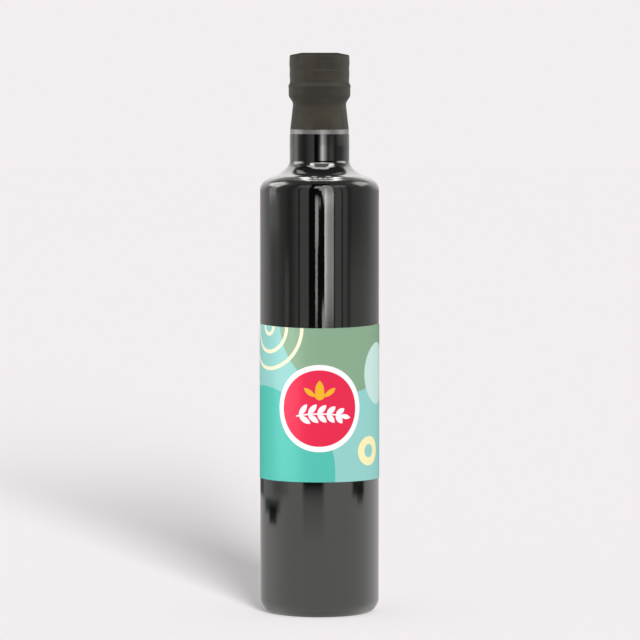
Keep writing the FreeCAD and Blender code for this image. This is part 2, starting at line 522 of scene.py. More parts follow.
CALM_RADIUS = 5 * MM  # from here in to the axis the waves of a turned piece die out

TURNED_INPUTS = (
    ("Geometry", "NodeSocketGeometry"),
    ("Segments", "NodeSocketInt"),
    ("Wave Depth", "NodeSocketFloat"),
    ("Wave Length", "NodeSocketFloat"),
    ("Wave Stretch", "NodeSocketFloat"),
    ("Seed", "NodeSocketFloat"),
    ("Sharp Angle", "NodeSocketFloat"),
    ("Material", "NodeSocketMaterial"),
)


def new_tree(name, inputs):
    """A Geometry Nodes tree with those inputs and one geometry output."""
    tree = bpy.data.node_groups.new(name, "GeometryNodeTree")
    for label, kind in inputs:
        tree.interface.new_socket(label, in_out="INPUT", socket_type=kind)
    tree.interface.new_socket("Geometry", in_out="OUTPUT", socket_type="NodeSocketGeometry")
    nodes = Nodes(tree)
    first = tree.nodes.new("NodeGroupInput")
    given = {label: Wire(nodes, first.outputs[label]) for label, _ in inputs}
    return tree, nodes, given


def turned_tree():
    """Turns an outline about Z, with the seam at the back. Each of its points becomes a ring."""
    tree, nodes, given = new_tree("Turned piece", TURNED_INPUTS)
    outline, segments = given["Geometry"], given["Segments"]
    rings = nodes.add("GeometryNodeAttributeDomainSize", {"component": "MESH"}, {"Geometry": outline})
    sheet = nodes.add(
        "GeometryNodeMeshGrid", {}, {"Vertices X": segments + 1, "Vertices Y": rings}
    )
    index = nodes.add("GeometryNodeInputIndex")
    ring = nodes.maths("MODULO", index, rings)
    column = nodes.maths("FLOOR", (index + 0.5) / rings)
    sample = {
        "Geometry": outline,
        "Value": nodes.add("GeometryNodeInputPosition"),
        "Index": ring,
    }
    settings_of_sample = {"data_type": "FLOAT_VECTOR", "domain": "POINT"}
    radius, _, height = nodes.split(nodes.add("GeometryNodeSampleIndex", settings_of_sample, sample))
    turn = column / segments * math.tau + QUARTER
    across, away = nodes.maths("COSINE", turn), nodes.maths("SINE", turn)
    wave_place = nodes.add("ShaderNodeCombineXYZ", {}, {
        "X": across * radius / given["Wave Length"],
        "Y": away * radius / given["Wave Length"],
        "Z": height / given["Wave Length"] / given["Wave Stretch"],
    })
    wave = nodes.add("ShaderNodeTexNoise", {"noise_dimensions": "4D"}, {
        "Vector": wave_place, "W": given["Seed"], "Scale": 1.0, "Detail": 1.0,
    })
    reach = nodes.maths("MAXIMUM", radius, CALM_RADIUS)
    shrunk = radius * (1 - nodes.clamp(wave) * given["Wave Depth"] / reach)
    place = nodes.add("ShaderNodeCombineXYZ", {}, {"X": across * shrunk, "Y": away * shrunk, "Z": height})
    surface = nodes.add("GeometryNodeSetPosition", {}, {"Geometry": sheet, "Position": place})
    surface = nodes.add("GeometryNodeStoreNamedAttribute", {"data_type": "FLOAT2", "domain": "CORNER"}, {
        "Geometry": surface, "Name": "OFBake", "Value": sheet.out("UV Map"),
    })
    surface = nodes.add("GeometryNodeMergeByDistance", {}, {"Geometry": surface, "Distance": 0.001 * MM})
    surface = nodes.add("GeometryNodeSetShadeSmooth", {"domain": "FACE"}, {"Geometry": surface})
    bend = nodes.add("GeometryNodeInputMeshEdgeAngle")
    is_sharp = nodes.add("FunctionNodeCompare", {"data_type": "FLOAT", "operation": "GREATER_THAN"}, {
        "A": bend, "B": given["Sharp Angle"],
    })
    surface = nodes.add("GeometryNodeSetShadeSmooth", {"domain": "EDGE"}, {
        "Geometry": surface, "Selection": is_sharp, "Shade Smooth": False,
    })
    close_tree(nodes, surface, given["Material"])
    return tree


def close_tree(nodes, surface, finish):
    """Ends a tree: plain faces with their finish."""
    surface = nodes.add("GeometryNodeRealizeInstances", {}, {"Geometry": surface})
    surface = nodes.add("GeometryNodeSetMaterial", {}, {"Geometry": surface, "Material": finish})
    nodes.add("NodeGroupOutput", {}, {"Geometry": surface})


def grow(name, start, tree, inputs):
    """Runs a Geometry Nodes tree on a mesh, and gives the result as a plain piece."""
    carrier = bpy.data.objects.new(name + "_start", start)
    bpy.context.scene.collection.objects.link(carrier)
    modifier = carrier.modifiers.new("Make", "NODES")
    modifier.node_group = tree
    for item in tree.interface.items_tree:
        if item.in_out == "INPUT" and item.name in inputs:
            modifier[item.identifier] = inputs[item.name]
    evaluated = carrier.evaluated_get(bpy.context.evaluated_depsgraph_get())
    made = bpy.data.meshes.new_from_object(evaluated)
    made.name = name
    bpy.data.objects.remove(carrier)
    bpy.data.meshes.remove(start)
    piece = bpy.data.objects.new(name, made)
    bpy.context.scene.collection.objects.link(piece)
    return piece


def turn(name, outline, finish, segments, waves=(0, 0.01, 1), seed=0.0, crease=math.radians(40)):
    """A piece turned from its outline. Waves are their depth, length and stretch up the wall."""
    tree = bpy.data.node_groups.get("Turned piece") or turned_tree()
    depth, wave_length, stretch = waves
    return grow(name, outline.mesh(name + "_outline"), tree, {
        "Segments": segments,
        "Wave Depth": depth,
        "Wave Length": wave_length,
        "Wave Stretch": stretch,
        "Seed": seed,
        "Sharp Angle": crease,
        "Material": finish,
    })


def hand_over(piece, slot_name, *nodes):
    """Ties a finished piece to the frame, in place of the CAD nodes that it stands for."""
    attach(piece, "root")
    if nodes:
        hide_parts(*nodes)


# Finishes

def dark_glass(glass):
    """Glass so dark that only its reflections show, with faint smears of handling."""
    made, nodes = material("Dark glass")
    place = nodes.place()
    smear = nodes.span(nodes.noise(place, 38, detail=3, stretch=(1, 1, 0.35)), 0.45, 0.75)
    speck = nodes.span(nodes.noise(place, 900, detail=1), 0.7, 0.8)
    roughness = glass.polish + smear * 0.03 + speck * 0.04
    ripple = nodes.noise(place, 60, detail=1, stretch=(1, 1, 0.4))
    nodes.finish(nodes.add("ShaderNodeBsdfPrincipled", {}, {
        "Base Color": nodes.blend(glass.tint, [c * 1.6 for c in glass.tint], smear),
        "Roughness": roughness,
        "IOR": 1.5,
        "Normal": nodes.bump(ripple, 0.012 * MM),
    }))
    return made


def band_film(capsule):
    """Satin metal film with fine upright streaks."""
    made, nodes = material("Band film")
    place = nodes.place()
    streak = nodes.noise(place, 500, detail=2, stretch=(1, 1, 0.2))
    nodes.finish(nodes.add("ShaderNodeBsdfPrincipled", {}, {
        "Base Color": nodes.blend(capsule.band, [c * 0.8 for c in capsule.band], streak),
        "Metallic": 0.85,
        "Roughness": 0.34 + streak * 0.1,
        "Normal": nodes.bump(streak, 0.02 * MM),
    }))
    return made


def capsule_film(capsule):
    """Matt shrink film with a fine grain, darker in soft random patches and olive where it is thin, near
    its foot.
    """
    made, nodes = material("Capsule film")
    place = nodes.place()
    height = nodes.split(place)[2]
    cloud = nodes.noise(place, 90, detail=3, stretch=(1, 1, 0.6))
    grain = nodes.noise(place, 2600, detail=2)
    foot = CAPSULE_BOX[0].z
    thin = nodes.span(height, foot + 16 * MM, foot + 6 * MM) * nodes.span(cloud, 0.35, 0.6)
    tone = nodes.blend(capsule.film_dark, capsule.film, nodes.span(cloud, 0.35, 0.65))
    tone = nodes.blend(tone, capsule.film_olive, thin * 0.5)
    nodes.finish(nodes.add("ShaderNodeBsdfPrincipled", {}, {
        "Base Color": tone,
        "Roughness": 0.5 + grain * 0.12,
        "IOR": 1.45,
        "Normal": nodes.bump(grain, 0.02 * MM, 0.6, nodes.bump(cloud, 0.15 * MM, 0.5)),
    }))
    return made


def painted_pin_mark_shade():
    """Painted shade: the dark bottom of a pin mark, a colour that stands in for the shade in the mark and
    at the capsule's foot.
    """
    made, nodes = material("Pin mark")
    grain = nodes.noise(nodes.place(), 3000)
    nodes.finish(nodes.add("ShaderNodeBsdfPrincipled", {}, {
        "Base Color": nodes.blend(linear(22, 21, 19), linear(34, 32, 29), grain),
        "Roughness": 0.8,
    }))
    return made


def paper_back(label):
    """Bare paper, on the label's cut edges and its inner face."""
    made, nodes = material("Label paper")
    fibre = nodes.noise(nodes.place(), 1500, detail=3)
    nodes.finish(nodes.add("ShaderNodeBsdfPrincipled", {}, {
        "Base Color": nodes.blend(label.white, [c * 0.9 for c in label.white], fibre),
        "Roughness": 0.7,
        "Normal": nodes.bump(fibre, 0.02 * MM),
    }))
    return made


class Print:
    """Inks laid on the unrolled label, one over the other. Distances are in millimetres from its middle."""

    EDGE = 0.16  # width over which an ink's edge fades
    MIDDLE = 40.3  # height of the print's middle above the label's foot
    MOTIF = 0.1  # how far right of the middle the motifs stand

    def __init__(self, nodes, label):
        self.nodes = nodes
        across, away, height = nodes.split(nodes.place())
        radius = LABEL_BOX[1].x
        middle = LABEL_BOX[0].z + self.MIDDLE * MM
        self.across = nodes.maths("ARCTAN2", across, -away) * (radius / MM)
        self.up = (height - middle) / MM
        self.tone = label.aqua

    def inside(self, distance):
        """1 where the distance to a shape's edge is negative, with a soft edge."""
        return self.nodes.clamp(0.5 - distance / self.EDGE)

    def disc(self, across, up, width, height):
        """An ellipse, by its half width and half height."""
        from_middle = self.nodes.hypot((self.across - across) / width, (self.up - up) / height)
        return self.inside((from_middle - 1) * min(width, height))

    def ring(self, across, up, width, height, thickness):
        """A ring, by its outer half width, outer half height and thickness."""
        hole = self.disc(across, up, width - thickness, height - thickness)
        return self.disc(across, up, width, height) * (1 - hole)

    def leaf(self, across, up, turn, size, width):
        """A leaf about its middle: where two circles of the same size overlap."""
        cos, sin = math.cos(turn), math.sin(turn)
        along = (self.across - across) * cos + (self.up - up) * sin
        side = abs((self.up - up) * cos - (self.across - across) * sin)
        rounding = (size * size + width * width) / (4 * width)
        return self.inside(self.nodes.hypot(along, side + (rounding - width / 2)) - rounding)

    def lay(self, ink, mask):
        """Prints an ink over what is there."""
        self.tone = self.nodes.blend(self.tone, ink, mask)

    def join(self, masks):
        """Everything that any of the masks covers."""
        joined = masks[0]
        for mask in masks[1:]:
            joined = self.nodes.maths("MAXIMUM", joined, mask)
        return joined


def lay_fields(sheet, label):
    """The large discs and rings."""
    sheet.lay(label.sage, sheet.disc(16.2, 45.3, 39.0, 39.0))
    sheet.lay(label.teal, sheet.disc(-36.0, -35.4, 44.3, 44.3))
    sheet.lay(label.mint, sheet.disc(39.0, 15.3, 12.65, 16.2))
    for size in (4.8, 14.0, 22.8):
        sheet.lay(label.cream, sheet.ring(-31.2, 40.1, size, size, 1.9))
    sheet.lay(label.butter, sheet.disc(30.0, -24.9, 8.2, 7.7) * (1 - sheet.disc(30.0, -24.9, 3.5, 3.5)))
    sheet.lay(label.white, sheet.disc(0.0, -1.8, 22.75, 22.75))
    sheet.lay(label.red, sheet.disc(0.0, -1.8, 19.95, 19.95))


def lay_drop(sheet, ink):
    """A drop of oil between two leaves."""
    middle = sheet.MOTIF
    drop = [sheet.disc(middle, 5.3, 2.7, 2.7), sheet.leaf(middle, 7.6, QUARTER, 10.4, 4.7)]
    leaves = [
        sheet.leaf(middle + side * 5.4, 6.6, math.radians(90 - side * 52), 7.4, 2.7)
        for side in (-1, 1)
    ]
    sheet.lay(ink, sheet.join(drop + leaves))


def lay_sprig(sheet, ink):
    """An olive sprig: a gently bent stem with leaves in pairs and one at its tip."""
    stem_radius, stem_top, half_length = 62.0, -4.2, 12.6
    stem = sheet.ring(sheet.MOTIF, stem_top - stem_radius, stem_radius, stem_radius, 0.75)
    within = sheet.inside(abs(sheet.across - sheet.MOTIF) - half_length)
    shapes = [stem * within]
    for pair in range(5):
        across = -11.0 + 4.9 * pair
        turn = -math.asin(across / stem_radius)
        up = stem_top - 0.4 - stem_radius * (1 - math.cos(turn))
        size = 7.4 - 0.45 * pair
        for side in (-1, 1):
            lean = turn + side * math.radians(44)
            leaf_across = across + sheet.MOTIF + math.cos(lean) * size / 2
            leaf_up = up + math.sin(lean) * size / 2
            shapes.append(sheet.leaf(leaf_across, leaf_up, lean, size, 2.9))
    tip_turn = -math.asin(half_length / stem_radius)
    shapes.append(sheet.leaf(half_length + 1.2, stem_top - 2.0, tip_turn, 6.0, 2.5))
    sheet.lay(ink, sheet.join(shapes))


def printed_paper(label):
    """Coated paper with its inks."""
    made, nodes = material("Printed label")
    sheet = Print(nodes, label)
    lay_fields(sheet, label)
    lay_drop(sheet, label.oil)
    lay_sprig(sheet, label.white)
    place = nodes.place()
    fibre = nodes.noise(place, 1500, detail=3)
    cockle = nodes.noise(place, 45, detail=1)
    mottle = nodes.blend((1, 1, 1), (0.95, 0.95, 0.95), fibre)
    tone = nodes.add("ShaderNodeMix", {"data_type": "RGBA", "blend_type": "MULTIPLY"}, {
        "Factor": 1.0, "A": sheet.tone, "B": mottle,
    })
    nodes.finish(nodes.add("ShaderNodeBsdfPrincipled", {}, {
        "Base Color": tone,
        "Roughness": 0.34 + fibre * 0.08,
        "IOR": 1.45,
        "Normal": nodes.bump(fibre, 0.008 * MM, 1.0, nodes.bump(cockle, 0.05 * MM)),
    }))
    return made


# Pieces

def make_glass():
    """The glass in two closed stretches that meet in the shoulder's slope."""
    glass = settings().glass
    finish = dark_glass(glass)
    stretch = 1.6  # waves are this much longer up the wall than around it
    waves = (glass.wave_depth, glass.wave_length, stretch)
    outlines = {
        "bottle_body_glass": body_outline(glass),
        "bottle_neck_glass": neck_outline(glass, settings().capsule.film_thickness),
    }
    for name, outline in outlines.items():
        piece = turn(name, outline, finish, glass.segments, waves, seed=3.7, crease=math.radians(15))
        hand_over(piece, "dark_glass", "bottle")


def make_band():
    capsule = settings().capsule
    segments = settings().glass.segments
    piece = turn("neck_band_film", band_outline(capsule), band_film(capsule), segments)
    hand_over(piece, "band_film", "neck_band")


# Creases of the shrunk film: azimuth and half width in degrees, height above the foot, half height and
# depth in millimetres. A negative depth stands out.
CREASES = (
    ("hoop", 0, 400, 22.8, 1.3, -0.30),
    ("dent_under_ridge", 8, 46, 28.6, 2.6, 0.28),
    ("ridge", 11, 32, 30.6, 0.7, -0.32),
    ("ridge_glint", -5, 6, 30.6, 0.7, -0.30),
    ("fold_from_crown", -5, 2.4, 35.0, 5.0, 0.12),
    ("dent_over_ridge", 14, 40, 33.4, 1.6, 0.10),
    ("shoulder_fold", -42, 9, 37.2, 3.2, 0.22),
    ("back_dent", 170, 40, 29.5, 3.0, 0.22),
    ("side_dent", 101, 22, 33.0, 2.2, 0.16),
    ("side_fold", -118, 3, 33.0, 5.5, 0.10),
    ("skirt_fold", 141, 2.6, 9.0, 6.0, 0.07),
)


SMOOTH_CROWN = 12.5 * MM  # the crown has no creases inside this radius


def press_creases(mesh, foot):
    """Pushes the film in or out along each crease."""
    for vertex in mesh.vertices:
        radius = math.hypot(vertex.co.x, vertex.co.y)
        if radius < SMOOTH_CROWN:
            continue
        azimuth = math.degrees(math.atan2(vertex.co.x, -vertex.co.y))
        height = (vertex.co.z - foot) / MM
        depth = 0
        for _, centre, half_width, level, half_height, push in CREASES:
            aside = ((azimuth - centre + 180) % 360 - 180) / half_width
            above = (height - level) / half_height
            reach = 1 - aside * aside - above * above
            if reach > 0:
                depth += push * reach * reach * (3 - 2 * reach)
        if depth:
            factor = 1 - depth * MM / radius
            vertex.co.x *= factor
            vertex.co.y *= factor
    mesh.update()


PERFORATION_INPUTS = (
    ("Geometry", "NodeSocketGeometry"),
    ("Count", "NodeSocketInt"),
    ("Ring Radius", "NodeSocketFloat"),
    ("Height", "NodeSocketFloat"),
    ("Wander", "NodeSocketFloat"),
    ("Mark Size", "NodeSocketFloat"),
    ("Seed", "NodeSocketInt"),
    ("Material", "NodeSocketMaterial"),
)


def perforation_tree():
    """A ring of small pin marks, each a flat bead that is half sunk in the film."""
    tree, nodes, given = new_tree("Perforations", PERFORATION_INPUTS)
    radius, wander = given["Ring Radius"], given["Wander"]
    ring = nodes.add("GeometryNodeMeshCircle", {}, {"Vertices": given["Count"], "Radius": radius})

    def scatter(low, high, salt):
        """A random number for each mark."""
        values = {"Min": low, "Max": high, "Seed": given["Seed"] + salt}
        return nodes.add("FunctionNodeRandomValue", {"data_type": "FLOAT"}, values)

    across, away, _ = nodes.split(nodes.add("GeometryNodeInputPosition"))
    turn = nodes.maths("ARCTAN2", away, across) + scatter(-wander, wander, 1) / radius
    place = nodes.add("ShaderNodeCombineXYZ", {}, {
        "X": nodes.maths("COSINE", turn) * radius,
        "Y": nodes.maths("SINE", turn) * radius,
        "Z": given["Height"] + scatter(wander * -0.2, wander * 0.2, 2),
    })
    ring = nodes.add("GeometryNodeSetPosition", {}, {"Geometry": ring, "Position": place})
    bead = nodes.add("GeometryNodeMeshUVSphere", {}, {"Segments": 10, "Rings": 6, "Radius": 0.5})
    facing = nodes.add("ShaderNodeCombineXYZ", {}, {"X": 0.0, "Y": 0.0, "Z": turn})
    size = given["Mark Size"] * scatter(0.6, 1.25, 3)
    scale = nodes.add("ShaderNodeCombineXYZ", {}, {"X": size * 0.22, "Y": size, "Z": size * 0.9})
    marks = nodes.add("GeometryNodeInstanceOnPoints", {}, {
        "Points": ring, "Instance": bead, "Rotation": facing, "Scale": scale,
    })
    close_tree(nodes, marks, given["Material"])
    return tree


def make_capsule():
    capsule = settings().capsule
    stretch = 0.8  # waves are this much longer up the film than around it
    waves = (capsule.wave_depth, capsule.wave_length, stretch)
    finish = capsule_film(capsule)
    piece = turn("capsule_film", capsule_outline(capsule), finish, capsule.segments, waves, seed=8.2)
    press_creases(piece.data, CAPSULE_BOX[0].z)
    hand_over(piece, "capsule_film", "capsule")
    lean = capsule.skirt_taper / capsule.skirt_height
    rise = 0.75 * MM  # of the marks above the foot
    sunk = 0.04 * MM  # how deep their middles lie in the film
    marks = grow("capsule_pin_marks", bpy.data.meshes.new("pin_marks"), perforation_tree(), {
        "Count": capsule.perforations,
        "Ring Radius": BAND_BOX[1].x - rise * lean - sunk,
        "Height": CAPSULE_BOX[0].z + rise,
        "Wander": 0.55 * MM,
        "Mark Size": 0.42 * MM,
        "Seed": 5,
        # The marks' near-black colour is painted shade
        "Material": painted_pin_mark_shade(),
    })
    hand_over(marks, "capsule_film")


LABEL_ROWS = 24  # faces of the label from its foot to its top

# The label's texture from its foot to its top: the printed face lies in two rows, each half a wrap wide,
# and the rest in a narrow strip between them
FACE_FOOT, FACE_HEIGHT, FACE_STEP = 0.01, 0.475, 0.505
STRIP_FOOT, STRIP_HEIGHT = 0.488, 0.02


def make_label():
    """The sleeve of paper: a closed section that is turned from one end of the wrap to the other."""
    label = settings().label
    outer = LABEL_BOX[1].x
    inner = outer - label.paper_thickness
    foot, top = LABEL_BOX[0].z, LABEL_BOX[1].z
    rows = LABEL_ROWS
    count = 2 * (rows + 1)
    columns = label.segments
    gap = label.gap / outer
    points, faces, maps, bare = [], [], [], []
    for column in range(columns + 1):
        turn = QUARTER + gap / 2 + (math.tau - gap) * column / columns
        rise = top - foot - label.dip * max(0, -math.sin(turn)) ** 2
        heights = [foot + rise * row / rows for row in range(rows + 1)]
        section = [(outer, height) for height in heights]
        section += [(inner, height) for height in reversed(heights)]
        points += [(r * math.cos(turn), r * math.sin(turn), z) for r, z in section]

    def on_map(column, place, half):
        """Where a corner lies on the texture. Half is 0 or 1 on the printed face, and 2 elsewhere."""
        along = column / columns
        if place <= rows and half < 2:
            return (2 * along - half, FACE_FOOT + FACE_HEIGHT * place / rows + FACE_STEP * half)
        return (along, STRIP_FOOT + STRIP_HEIGHT * (place % count - rows) / count)

    for column in range(columns):
        half = int(column >= columns / 2)
        for place in range(count):
            after = (place + 1) % count
            faces.append([
                column * count + place,
                (column + 1) * count + place,
                (column + 1) * count + after,
                column * count + after,
            ])
            printed = place < rows
            side = half if printed else 2
            bare.append(0 if printed else 1)
            corners = ((column, place), (column + 1, place), (column + 1, place + 1), (column, place + 1))
            maps.append([on_map(*corner, side) for corner in corners])
    for column, step in ((0, 1), (columns, -1)):
        for row in range(rows):
            corners = [row, row + 1, count - 2 - row, count - 1 - row][::step]
            faces.append([column * count + corner for corner in corners])
            bare.append(1)
            maps.append([on_map(column, corner, 2) for corner in corners])

    made = bpy.data.meshes.new("label_paper")
    made.from_pydata(points, [], faces)
    made.materials.append(printed_paper(label))
    made.materials.append(paper_back(label))
    made.polygons.foreach_set("material_index", bare)
    layer = made.uv_layers.new(name="OFBake")
    layer.data.foreach_set("uv", [value for face in maps for corner in face for value in corner])
    made.polygons.foreach_set("use_smooth", [True] * len(faces))
    made.update()
    made.set_sharp_from_angle(angle=math.radians(40))
    piece = bpy.data.objects.new("label_paper", made)
    bpy.context.scene.collection.objects.link(piece)
    hand_over(piece, "label_paper", "label")


# Studio

def stage_mesh(name, points, faces, finish, glow=None):
    """A stage piece. Glow is how bright each point shines."""
    made = bpy.data.meshes.new(name)
    made.from_pydata(points, [], faces)
    made.materials.append(finish)
    if glow:
        shine = made.attributes.new("glow", "FLOAT", "POINT")
        shine.data.foreach_set("value", glow)
    piece = bpy.data.objects.new(name, made)
    bpy.context.scene.collection.objects.link(piece)
    return piece


def glowing():
    """Shines as each point's glow says, and lets what lies behind it shine through."""
    made, nodes = material("Glowing card")
    glow = nodes.add("ShaderNodeAttribute", {"attribute_name": "glow"}).out("Fac")
    shine = nodes.add("ShaderNodeEmission", {}, {"Color": (1, 0.99, 0.97, 1), "Strength": glow})
    clear = nodes.add("ShaderNodeBsdfTransparent")
    nodes.finish(nodes.add("ShaderNodeAddShader", {}, {0: shine, 1: clear}))
    made.cycles.emission_sampling = "NONE"
    return made


def black_cloth():
    """Shows nothing, and hides what lies behind it."""
    made, nodes = material("Black cloth")
    weave = nodes.noise(nodes.place(), 200)
    tone = nodes.blend((0, 0, 0), (0.001, 0.001, 0.001), weave)
    nodes.finish(nodes.add("ShaderNodeBsdfDiffuse", {}, {"Color": tone}))
    return made


def only_in_reflections(card, receivers=None):
    """The card shows in gloss alone, and with receivers, in theirs alone."""
    card.visible_camera = False
    card.visible_diffuse = False
    card.visible_transmission = False
    card.visible_shadow = False
    if receivers:
        card.light_linking.receiver_collection = receivers


def direction(azimuth, elevation=0.0):
    """A unit vector. Azimuth 0 points to the camera and 90 to its right; both are in degrees."""
    side, rise = math.radians(azimuth), math.radians(elevation)
    return Vector((math.sin(side) * math.cos(rise), -math.cos(side) * math.cos(rise), math.sin(rise)))


def collection_of(name, pieces):
    made = bpy.data.collections.new(name)
    for piece in pieces:
        made.objects.link(bpy.data.objects[piece])
    return made


def pale_floor(studio):
    made, nodes = material("Pale floor")
    speck = nodes.noise(nodes.place(), 25, detail=1)
    nodes.finish(nodes.add("ShaderNodeBsdfPrincipled", {}, {
        "Base Color": nodes.blend(studio.ground, [c * 0.998 for c in studio.ground], speck),
        "Roughness": 1.0,
        "Specular IOR Level": 0.0,
    }))
    return made


def make_backdrop(studio):
    """What is seen past the floor, and the even light from all around."""
    world = bpy.data.worlds.new("Studio")
    bpy.context.scene.world = world
    world.use_nodes = True
    world.node_tree.nodes.clear()
    nodes = Nodes(world.node_tree)
    ray = nodes.add("ShaderNodeLightPath")
    seen = nodes.clamp(ray.out("Is Camera Ray") + ray.out("Is Glossy Ray") + ray.out("Is Transmission Ray"))
    even = [studio.sky] * 3
    light = nodes.add("ShaderNodeBackground", {}, {"Color": nodes.blend(even, studio.ground, seen)})
    nodes.add("ShaderNodeOutputWorld", {}, {"Surface": light})


LAMP_DISTANCE = 3  # where the lamps are shown, in metres: they shine the same from anywhere


def add_sun(name, toward, strength, spread, receivers, shadow=True):
    """A lamp far away that no gloss shows. Toward points from the bottle to the lamp."""
    data = bpy.data.lights.new(name, "SUN")
    data.energy = strength
    data.angle = spread
    data.use_shadow = shadow
    lamp = bpy.data.objects.new(name, data)
    lamp.rotation_euler = toward.to_track_quat("Z", "Y").to_euler()
    lamp.location = toward * LAMP_DISTANCE
    bpy.context.scene.collection.objects.link(lamp)
    lamp.visible_glossy = False
    lamp.light_linking.receiver_collection = receivers


def make_camera(studio):
    data = bpy.data.cameras.new("Camera")
    data.lens = studio.camera_lens
    camera = bpy.data.objects.new("Camera", data)
    aside = 0.26 * MM
    camera.location = (aside, -studio.camera_distance, studio.camera_height)
    camera.rotation_euler = (QUARTER - studio.camera_fall, 0, 0)
    bpy.context.scene.collection.objects.link(camera)
    bpy.context.scene.camera = camera


BODY_PIECES = ["bottle_body_glass"]
NECK_PIECES = ["bottle_neck_glass", "neck_band_film"]
CAPSULE_PIECES = ["capsule_film", "capsule_pin_marks"]
LABEL_PIECES = ["label_paper"]

# How bright a dome is around the horizon: azimuth in degrees and brightness. Azimuth 0 is behind the
# camera.
BODY_WALL = (
    (-180, 0.66), (-150, 0.68), (-140, 0.93), (-118, 1.0), (-112, 0.92), (-106, 0.76), (-100, 0.72),
    (-94, 0.80), (-90, 0.78), (-76, 0.55), (-68.5, 0.46), (-64, 0.35), (-59.5, 0.31), (-55, 0.41),
    (-50.7, 0.57), (-46.5, 0.77), (-43, 0.80), (-42, 0.30), (-39.5, 0.30), (-38.5, 0.9), (-35, 1.0),
    (-22, 1.02), (-21, 0.02), (8.6, 0.04), (8.9, 11.6), (10.6, 11.6), (12.5, 8.8), (14.5, 6.8),
    (16.4, 6.0), (18.4, 5.6), (20.3, 5.2), (22.3, 5.0), (24.2, 5.5), (26.0, 5.3), (26.3, 0.4),
    (28.4, 0.4), (28.9, 1.07), (41.2, 1.12), (41.9, 0.3), (44.0, 0.25), (44.8, 0.95), (51, 0.95),
    (55, 0.55), (58, 0.31), (62, 0.42), (67, 0.57), (75, 0.58), (94, 0.72), (106, 0.75), (120, 0.91),
    (138, 0.80), (150, 0.57), (180, 0.55),
)
NECK_WALL = (
    (-180, 0.9), (-156, 1.0), (-131, 1.2), (-115, 1.6), (-102, 2.6), (-90, 1.1), (-80, 0.52),
    (-70, 0.36), (-61, 0.28), (-53, 0.42), (-44, 0.66), (-36, 0.85), (-22, 0.95), (-20, 0.00),
    (-9, 0.05), (-5, 0.3), (-1, 1.2), (2.7, 4.5), (7, 10), (10.3, 12), (18, 6.4), (26, 2.4), (30, 0.7),
    (34, 0.6), (42, 1.0), (50, 1.0), (53, 0.9), (58.7, 0.28), (67, 0.34), (77, 0.50), (87, 0.46),
    (98, 0.65), (111, 1.0), (126, 1.0), (147, 0.8), (180, 0.7),
)
CAPSULE_WALL = (
    (-180, 0.8), (-115, 1.2), (-84, 1.1), (-55, 0.5), (-25, 0.1), (20, 0.05), (40, 0.3), (65, 0.9),
    (90, 1.3), (115, 1.4), (180, 0.8),
)
LABEL_WALL = ((-180, 0.1), (180, 0.1))

# How the strip light and the screens behind the bottle change with the elevation, in degrees
STRIP_RISE = (
    (-6.6, 0.25), (-6.43, 0.33), (-6.1, 0.65), (-5.4, 0.81), (-4.7, 0.93), (-4.0, 0.96), (-3.3, 0.90),
    (-2.8, 0.93), (-2.55, 1.1), (-2.33, 1.33), (-1.9, 1.15), (0, 0.9), (30, 0.85), (45, 0.8),
)
EVEN_RISE = ((-10, 1), (90, 1))
LABEL_BACK_RISE = ((-10, 0.1), (90, 0.1))
BODY_BACK_RISE = (
    (-9, 0.7), (0, 1.0), (8, 1.3), (14, 1.7), (20, 2.0), (27, 2.0), (31, 1.5), (35, 1.0), (44, 0.8),
    (50, 0.4),
)
NECK_BACK_RISE = (
    (-9, 0.7), (0, 1.0), (8, 1.3), (14, 1.7), (20, 2.1), (26, 2.6), (32, 3.3), (38, 4.0), (40.5, 4.1),
    (42.5, 1.8), (45, 0.5), (50, 0.3),
)

# Soft-edged fields of light and shade on a dome, each over the ones before it: from one azimuth to another,
# from one elevation to another, brightness, and the widths of its upright and its level edges. All but the
# brightness are in degrees.
BODY_FIELDS = (
    ("low_right_screen", 60, 126, -9, -4.2, 1.0, 12, 2.4),
    ("low_left_screen", -71, -62, -7.5, -4.4, 0.95, 6, 1.4),
    ("left_glow", -114, -86, -3.4, -1.5, 1.2, 8, 1.0),
    ("streak", -9.2, -3.0, -3.7, -2.2, 5.7, 0.5, 0.1),
    ("streak_top", -4, 1.5, -2.48, -2.3, 4.4, 1.0, 0.12),
    ("streak_low", -8.8, -4.4, -6.2, -3.7, 4.3, 0.6, 0.4),
    ("streak_end", -8.8, -5.0, -8.8, -6.2, 1.5, 0.6, 0.3),
    ("strip_foot", 4.0, 9, -8.8, -5.95, 5.2, 1.0, 0.2),
    ("strip_shoulder", 6.4, 9, -2.35, 0, 9.0, 0.8, 0.1),
    ("strip_arm", 3.5, 9, -1.9, 12, 6.0, 1.5, 1),
    ("strip_elbow", -2, 9, 12, 30, 5.2, 3, 6),
    ("strip_head", -12, 27, 30, 50, 4.8, 2, 5),
    ("left_tail", -114, -94, -2.3, 24, 2.7, 5, 0.5),
    ("left_lamp", -134, -94, 24, 52, 7.6, 9, 9),
    ("right_lamp", 98, 134, 29, 51, 4.8, 9, 9),
    ("left_rim", -50, -22, 37, 53, 1.7, 4, 5),
    ("right_rim", 30, 62, 37, 53, 2.0, 4, 5),
    ("ceiling", -180, 180, 60, 100, 0.5, 10, 10),
    ("front_ceiling", -28, 30, 57, 71, 0.0, 4, 4),
    ("box_inside", 156, 202, 48, 72, 1.6, 3, 3),
    ("box_bar", 161, 196, 60, 66, 5.6, 2.5, 2.5),
    ("box_right_arm", 158, 163.5, 54, 66, 12, 2.5, 3),
    ("box_left_arm", 191.5, 196, 54, 66, 12, 2.5, 3),
    ("box_right_bend", 162, 167.5, 48, 56, 9, 2, 3),
    ("box_left_bend", 188, 192.5, 48, 56, 9, 2, 3),
    ("box_right_tip", 168.5, 172, 40, 50, 7, 2, 4),
    ("box_left_tip", 184.5, 188.5, 40, 50, 7, 2, 4),
) + tuple(
    ("bulb", step * 3.4 + 177.7, step * 3.4 + 179.3, 46.5, 52, 6, 1, 1) for step in range(-3, 4)
)
